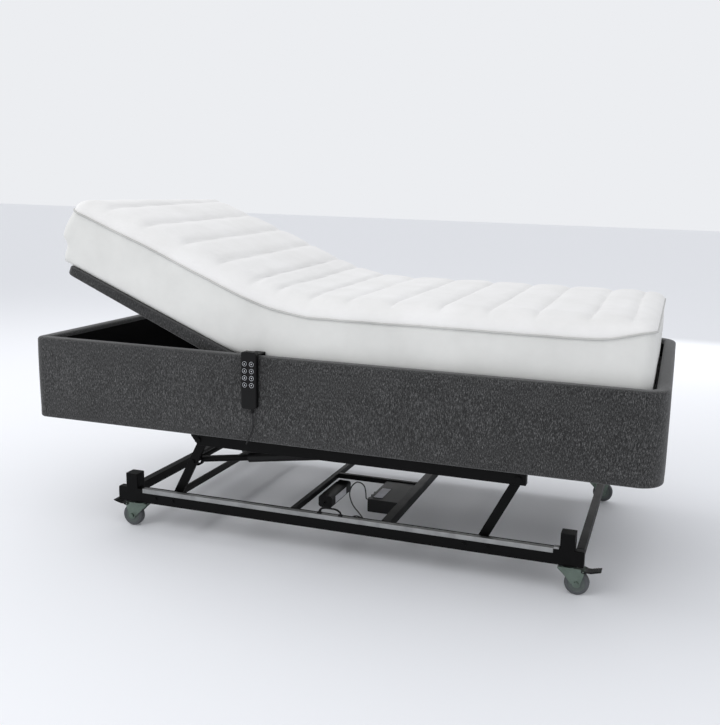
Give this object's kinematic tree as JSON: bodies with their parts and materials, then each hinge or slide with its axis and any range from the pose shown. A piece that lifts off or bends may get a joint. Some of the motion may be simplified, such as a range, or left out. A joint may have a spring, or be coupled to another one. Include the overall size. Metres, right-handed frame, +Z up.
{
  "type": "adjustable bed base",
  "caption": "Electric hi-lo adjustable bed base on braked castors, charcoal upholstered surround, four-section deck, wired handset, white quilted mattress with the backrest partly raised.",
  "frame": {"origin": "on the floor, under the middle of the whole bed, with the handset cord and the power cord left out", "axes": "+X runs from the head end to the foot end, +Y from the handset side to the far side, +Z up"},
  "size_m": [2.09, 1.0442, 1.148],
  "materials": {
    "charcoal_fabric": "charcoal heather upholstery",
    "white_knit": "white quilted knit",
    "black_steel": "satin black powder coat",
    "grey_strip": "matt anodised",
    "black_plastic": "fine moulded grain",
    "zinc": "zinc plated",
    "chrome_rod": "polished rod",
    "grey_rubber": "grey non-marking rubber",
    "key_grey": "soft touch",
    "cord_black": "matt cord jacket"
  },
  "bodies": {
    "base": {"base_side_near": "black_steel", "base_side_far": "black_steel", "power_cross_tube": "black_steel", "control_cross_tube": "black_steel", "rail_strip": "grey_strip", "pull_hoop": "black_plastic", "power_supply_box": "black_plastic", "control_box": "black_plastic", "power_cord": "cord_black"},
    "head_arms": {"head_arm_near": "black_steel", "head_arm_far": "black_steel"},
    "foot_arms": {"foot_arm_near": "black_steel", "foot_arm_far": "black_steel"},
    "upper_frame": {"lift_rail_near": "black_steel", "lift_rail_far": "black_steel", "deck_cross_head": "black_steel", "deck_cross_mid": "black_steel", "deck_cross_foot": "black_steel", "deck_batten_near": "black_steel", "deck_batten_far": "black_steel", "surround_near": "charcoal_fabric", "surround_far": "charcoal_fabric", "surround_head": "charcoal_fabric", "surround_foot": "charcoal_fabric", "seat_panel": "charcoal_fabric", "mattress_seat": "white_knit", "backrest_drive_tube": "black_plastic", "leg_drive_tube": "black_plastic", "handset_body": "black_plastic", "handset_cord": "cord_black"},
    "lift_tube": {"lift_drive_tube": "black_steel"},
    "lift_rod": {"lift_drive_rod": "black_steel"},
    "backrest": {"backrest_panel": "charcoal_fabric"},
    "mattress_head_end": {"mattress_back": "white_knit"},
    "thigh": {"thigh_panel": "charcoal_fabric", "mattress_thigh": "white_knit"},
    "calf": {"calf_panel": "charcoal_fabric", "mattress_calf": "white_knit"},
    "backrest_rod": {"backrest_drive_rod": "chrome_rod"},
    "leg_rod": {"leg_drive_rod": "chrome_rod"},
    "swivel_head_near": {"castor_fork_head_near": "zinc"},
    "wheel_head_near": {"castor_wheel_head_near": "grey_rubber"},
    "pedal_head_near": {"castor_pedal_head_near": "black_plastic"},
    "swivel_head_far": {"castor_fork_head_far": "zinc"},
    "wheel_head_far": {"castor_wheel_head_far": "grey_rubber"},
    "pedal_head_far": {"castor_pedal_head_far": "black_plastic"},
    "swivel_foot_near": {"castor_fork_foot_near": "zinc"},
    "wheel_foot_near": {"castor_wheel_foot_near": "grey_rubber"},
    "pedal_foot_near": {"castor_pedal_foot_near": "black_plastic"},
    "swivel_foot_far": {"castor_fork_foot_far": "zinc"},
    "wheel_foot_far": {"castor_wheel_foot_far": "grey_rubber"},
    "pedal_foot_far": {"castor_pedal_foot_far": "black_plastic"},
    "key_1a": {"handset_key_1a": "key_grey"},
    "key_1b": {"handset_key_1b": "key_grey"},
    "key_2a": {"handset_key_2a": "key_grey"},
    "key_2b": {"handset_key_2b": "key_grey"},
    "key_3a": {"handset_key_3a": "key_grey"},
    "key_3b": {"handset_key_3b": "key_grey"},
    "key_4a": {"handset_key_4a": "key_grey"},
    "key_4b": {"handset_key_4b": "key_grey"}
  },
  "joints": [
    {"name": "lift", "type": "hinge", "parent": "base", "child": "head_arms", "pos_m": [-0.5625, 0.01205, 0.122], "axis": [0, -1, 0], "range_deg": [-38, 8.5]},
    {"name": "lift_top", "type": "hinge", "parent": "head_arms", "child": "upper_frame", "pos_m": [-0.4515, 0.01205, 0.341], "axis": [0, -1, 0], "range_deg": [-8.5, 38]},
    {"name": "lift_foot", "type": "hinge", "parent": "base", "child": "foot_arms", "pos_m": [0.518, 0.01205, 0.122], "axis": [0, -1, 0], "range_deg": [-38, 8.5]},
    {"name": "lift_drive_swing", "type": "hinge", "parent": "upper_frame", "child": "lift_tube", "pos_m": [0.08, -0.35995, 0.332], "axis": [0, -1, 0], "range_deg": [-5.2, 1.2]},
    {"name": "lift_drive_stroke", "type": "slide", "parent": "lift_tube", "child": "lift_rod", "axis": [-0.9893, 0, -0.1462], "range_m": [-0.0105, 0.048]},
    {"name": "backrest_lift", "type": "hinge", "parent": "upper_frame", "child": "backrest", "pos_m": [-0.198, 0.01205, 0.587], "axis": [0, 1, 0], "range_deg": [-22.5, 37.5]},
    {"name": "mattress_creep", "type": "slide", "parent": "backrest", "child": "mattress_head_end", "axis": [-0.9239, 0, 0.3827], "range_m": [-0.0403, 0.067]},
    {"name": "backrest_drive_stroke", "type": "slide", "parent": "upper_frame", "child": "backrest_rod", "axis": [-1, 0, 0], "range_m": [-0.034, 0.0565]},
    {"name": "thigh_lift", "type": "hinge", "parent": "upper_frame", "child": "thigh", "pos_m": [0.055, 0.01205, 0.587], "axis": [0, -1, 0], "range_deg": [0, 30]},
    {"name": "knee", "type": "hinge", "parent": "thigh", "child": "calf", "pos_m": [0.4095, 0.01205, 0.553], "axis": [0, -1, 0], "range_deg": [-47.8, 0]},
    {"name": "leg_drive_stroke", "type": "slide", "parent": "upper_frame", "child": "leg_rod", "axis": [1, 0, 0], "range_m": [0, 0.0468]},
    {"name": "swivel_turn_head_near", "type": "hinge", "parent": "base", "child": "swivel_head_near", "pos_m": [-0.69, -0.42495, 0.088], "axis": [0, 0, 1], "continuous": true},
    {"name": "wheel_roll_head_near", "type": "hinge", "parent": "swivel_head_near", "child": "wheel_head_near", "pos_m": [-0.718, -0.42495, 0.0375], "axis": [0, 1, 0], "continuous": true},
    {"name": "brake_press_head_near", "type": "hinge", "parent": "swivel_head_near", "child": "pedal_head_near", "pos_m": [-0.736, -0.42495, 0.079], "axis": [0, -1, 0], "range_deg": [0, 14]},
    {"name": "swivel_turn_head_far", "type": "hinge", "parent": "base", "child": "swivel_head_far", "pos_m": [-0.69, 0.44905, 0.088], "axis": [0, 0, 1], "continuous": true},
    {"name": "wheel_roll_head_far", "type": "hinge", "parent": "swivel_head_far", "child": "wheel_head_far", "pos_m": [-0.718, 0.44905, 0.0375], "axis": [0, 1, 0], "continuous": true},
    {"name": "brake_press_head_far", "type": "hinge", "parent": "swivel_head_far", "child": "pedal_head_far", "pos_m": [-0.736, 0.44905, 0.079], "axis": [0, -1, 0], "range_deg": [0, 14]},
    {"name": "swivel_turn_foot_near", "type": "hinge", "parent": "base", "child": "swivel_foot_near", "pos_m": [0.792, -0.42495, 0.088], "axis": [0, 0, 1], "continuous": true},
    {"name": "wheel_roll_foot_near", "type": "hinge", "parent": "swivel_foot_near", "child": "wheel_foot_near", "pos_m": [0.82, -0.42495, 0.0375], "axis": [0, 1, 0], "continuous": true},
    {"name": "brake_press_foot_near", "type": "hinge", "parent": "swivel_foot_near", "child": "pedal_foot_near", "pos_m": [0.838, -0.42495, 0.079], "axis": [0, 1, 0], "range_deg": [0, 14]},
    {"name": "swivel_turn_foot_far", "type": "hinge", "parent": "base", "child": "swivel_foot_far", "pos_m": [0.792, 0.44905, 0.088], "axis": [0, 0, 1], "continuous": true},
    {"name": "wheel_roll_foot_far", "type": "hinge", "parent": "swivel_foot_far", "child": "wheel_foot_far", "pos_m": [0.82, 0.44905, 0.0375], "axis": [0, 1, 0], "continuous": true},
    {"name": "brake_press_foot_far", "type": "hinge", "parent": "swivel_foot_far", "child": "pedal_foot_far", "pos_m": [0.838, 0.44905, 0.079], "axis": [0, 1, 0], "range_deg": [0, 14]},
    {"name": "key_press_1a", "type": "slide", "parent": "upper_frame", "child": "key_1a", "axis": [0, 1, 0], "range_m": [0, 0.001], "stiffness_N_per_m": 600, "springref_m": -0.0005},
    {"name": "key_press_1b", "type": "slide", "parent": "upper_frame", "child": "key_1b", "axis": [0, 1, 0], "range_m": [0, 0.001], "stiffness_N_per_m": 600, "springref_m": -0.0005},
    {"name": "key_press_2a", "type": "slide", "parent": "upper_frame", "child": "key_2a", "axis": [0, 1, 0], "range_m": [0, 0.001], "stiffness_N_per_m": 600, "springref_m": -0.0005},
    {"name": "key_press_2b", "type": "slide", "parent": "upper_frame", "child": "key_2b", "axis": [0, 1, 0], "range_m": [0, 0.001], "stiffness_N_per_m": 600, "springref_m": -0.0005},
    {"name": "key_press_3a", "type": "slide", "parent": "upper_frame", "child": "key_3a", "axis": [0, 1, 0], "range_m": [0, 0.001], "stiffness_N_per_m": 600, "springref_m": -0.0005},
    {"name": "key_press_3b", "type": "slide", "parent": "upper_frame", "child": "key_3b", "axis": [0, 1, 0], "range_m": [0, 0.001], "stiffness_N_per_m": 600, "springref_m": -0.0005},
    {"name": "key_press_4a", "type": "slide", "parent": "upper_frame", "child": "key_4a", "axis": [0, 1, 0], "range_m": [0, 0.001], "stiffness_N_per_m": 600, "springref_m": -0.0005},
    {"name": "key_press_4b", "type": "slide", "parent": "upper_frame", "child": "key_4b", "axis": [0, 1, 0], "range_m": [0, 0.001], "stiffness_N_per_m": 600, "springref_m": -0.0005}
  ],
  "couplings": [
    {"joint": "lift_top", "follows": "lift", "ratio": -1},
    {"joint": "lift_foot", "follows": "lift", "ratio": 1},
    {"joint": "lift_drive_swing", "follows": "lift", "ratio": 0.1293},
    {"joint": "lift_drive_stroke", "follows": "lift", "m_per_rad": -0.0685},
    {"joint": "mattress_creep", "follows": "backrest_lift", "m_per_rad": 0.102},
    {"joint": "backrest_drive_stroke", "follows": "backrest_lift", "m_per_rad": 0.0859},
    {"joint": "knee", "follows": "thigh_lift", "ratio": -1.59},
    {"joint": "leg_drive_stroke", "follows": "thigh_lift", "m_per_rad": 0.089}
  ]
}
